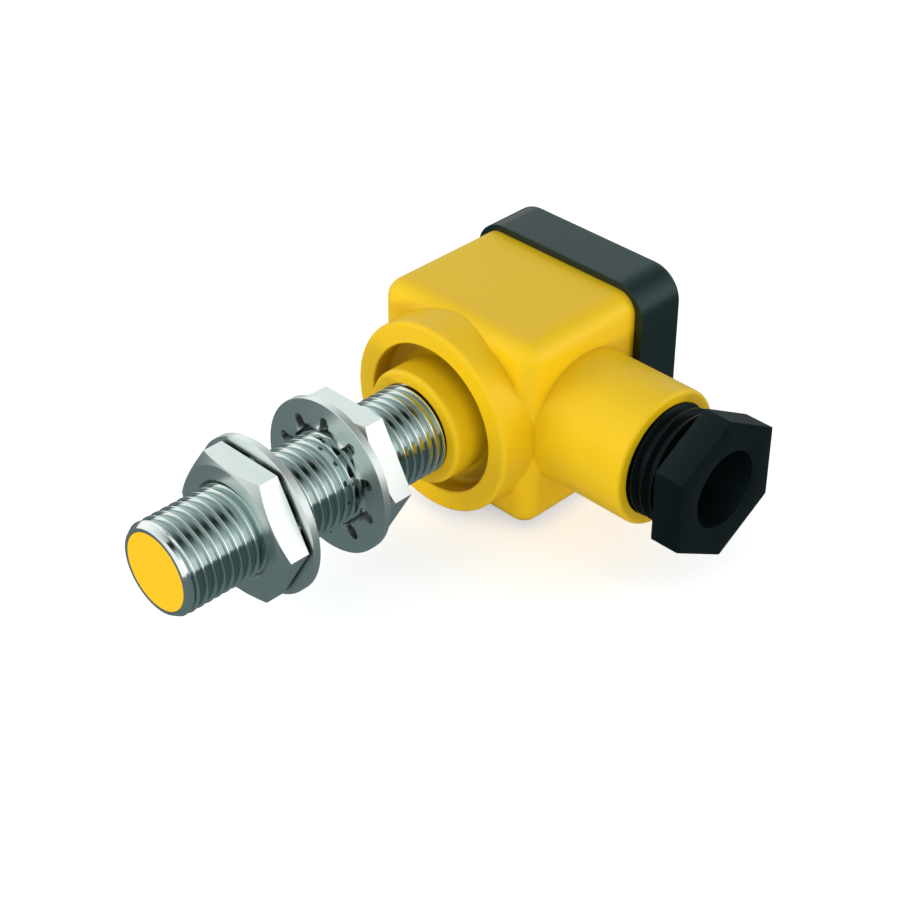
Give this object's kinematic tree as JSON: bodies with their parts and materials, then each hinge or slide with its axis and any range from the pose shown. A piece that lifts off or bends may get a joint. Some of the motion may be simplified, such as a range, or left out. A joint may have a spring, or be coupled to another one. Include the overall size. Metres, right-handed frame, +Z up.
{
  "type": "inductive proximity sensor",
  "caption": "Inductive proximity sensor: threaded metal barrel with lock nuts and toothed lock washers, square terminal housing with rear cover and side cable gland.",
  "frame": {"origin": "centre of the sensing face, on the barrel's axis", "axes": "-Y out of the sensing face, +Y back along the barrel, +X out of the cable gland, +Z up"},
  "size_m": [0.0501, 0.0744, 0.0286],
  "materials": {
    "nickel_plated_brass": "satin nickel plate over brass",
    "spring_steel": "zinc-plated spring steel, satin",
    "face_yellow": "smooth matt plastic",
    "housing_yellow": "fine moulded plastic, satin",
    "cover_black": "fine moulded plastic, satin",
    "gland_black": "fine moulded plastic, satin",
    "seal_rubber": "matt rubber",
    "ferrite": "sintered, matt",
    "bobbin_white": "plain plastic",
    "copper_wire": "enamelled copper",
    "board_green": "solder resist",
    "chip_black": "moulded packages",
    "potting_resin": "cast resin",
    "block_grey": "plain plastic",
    "clamp_brass": "bright brass",
    "screw_steel": "zinc-plated steel"
  },
  "bodies": {
    "root": {"threaded_barrel": "nickel_plated_brass", "sensing_cap": "face_yellow", "ferrite_core": "ferrite", "coil_bobbin": "bobbin_white", "coil_winding": "copper_wire", "circuit_board": "board_green", "board_components": "chip_black", "potting_resin": "potting_resin", "terminal_housing": "housing_yellow", "terminal_board": "board_green", "terminal_block": "block_grey", "terminal_clamps": "clamp_brass", "terminal_screws": "screw_steel", "cover_gasket": "seal_rubber", "rear_cover": "cover_black", "cover_screws": "screw_steel", "gland_seal": "seal_rubber"},
    "front_washer": {"front_lock_washer": "spring_steel"},
    "front_nut": {"front_lock_nut": "nickel_plated_brass"},
    "rear_washer": {"rear_lock_washer": "spring_steel"},
    "rear_nut": {"rear_lock_nut": "nickel_plated_brass"},
    "gland_ring": {"gland_thrust_ring": "gland_black"},
    "gland_nut": {"gland_screw": "gland_black"}
  },
  "joints": [
    {"name": "front_nut_travel", "type": "slide", "parent": "root", "child": "front_washer", "axis": [0, 1, 0], "range_m": [-0.0094, 0.0044]},
    {"name": "front_nut_turn", "type": "hinge", "parent": "front_washer", "child": "front_nut", "pos_m": [0, 0.0128, 0], "axis": [0, 1, 0], "range_deg": [-2700, 1260]},
    {"name": "rear_nut_travel", "type": "slide", "parent": "root", "child": "rear_washer", "axis": [0, 1, 0], "range_m": [-0.0044, 0.0094]},
    {"name": "rear_nut_turn", "type": "hinge", "parent": "rear_washer", "child": "rear_nut", "pos_m": [0, 0.0291, 0], "axis": [0, 1, 0], "range_deg": [-1260, 2700]},
    {"name": "gland_screw_travel", "type": "slide", "parent": "root", "child": "gland_ring", "axis": [1, 0, 0], "range_m": [-0.00455, 0.0023]},
    {"name": "gland_screw_turn", "type": "hinge", "parent": "gland_ring", "child": "gland_nut", "pos_m": [0.0338, 0.0575, 0.00025], "axis": [1, 0, 0], "range_deg": [-1080, 540]}
  ],
  "couplings": [
    {"joint": "front_nut_travel", "follows": "front_nut_turn", "m_per_rad": 0.00019894},
    {"joint": "rear_nut_travel", "follows": "rear_nut_turn", "m_per_rad": 0.00019894},
    {"joint": "gland_screw_travel", "follows": "gland_screw_turn", "m_per_rad": 0.00023873}
  ]
}
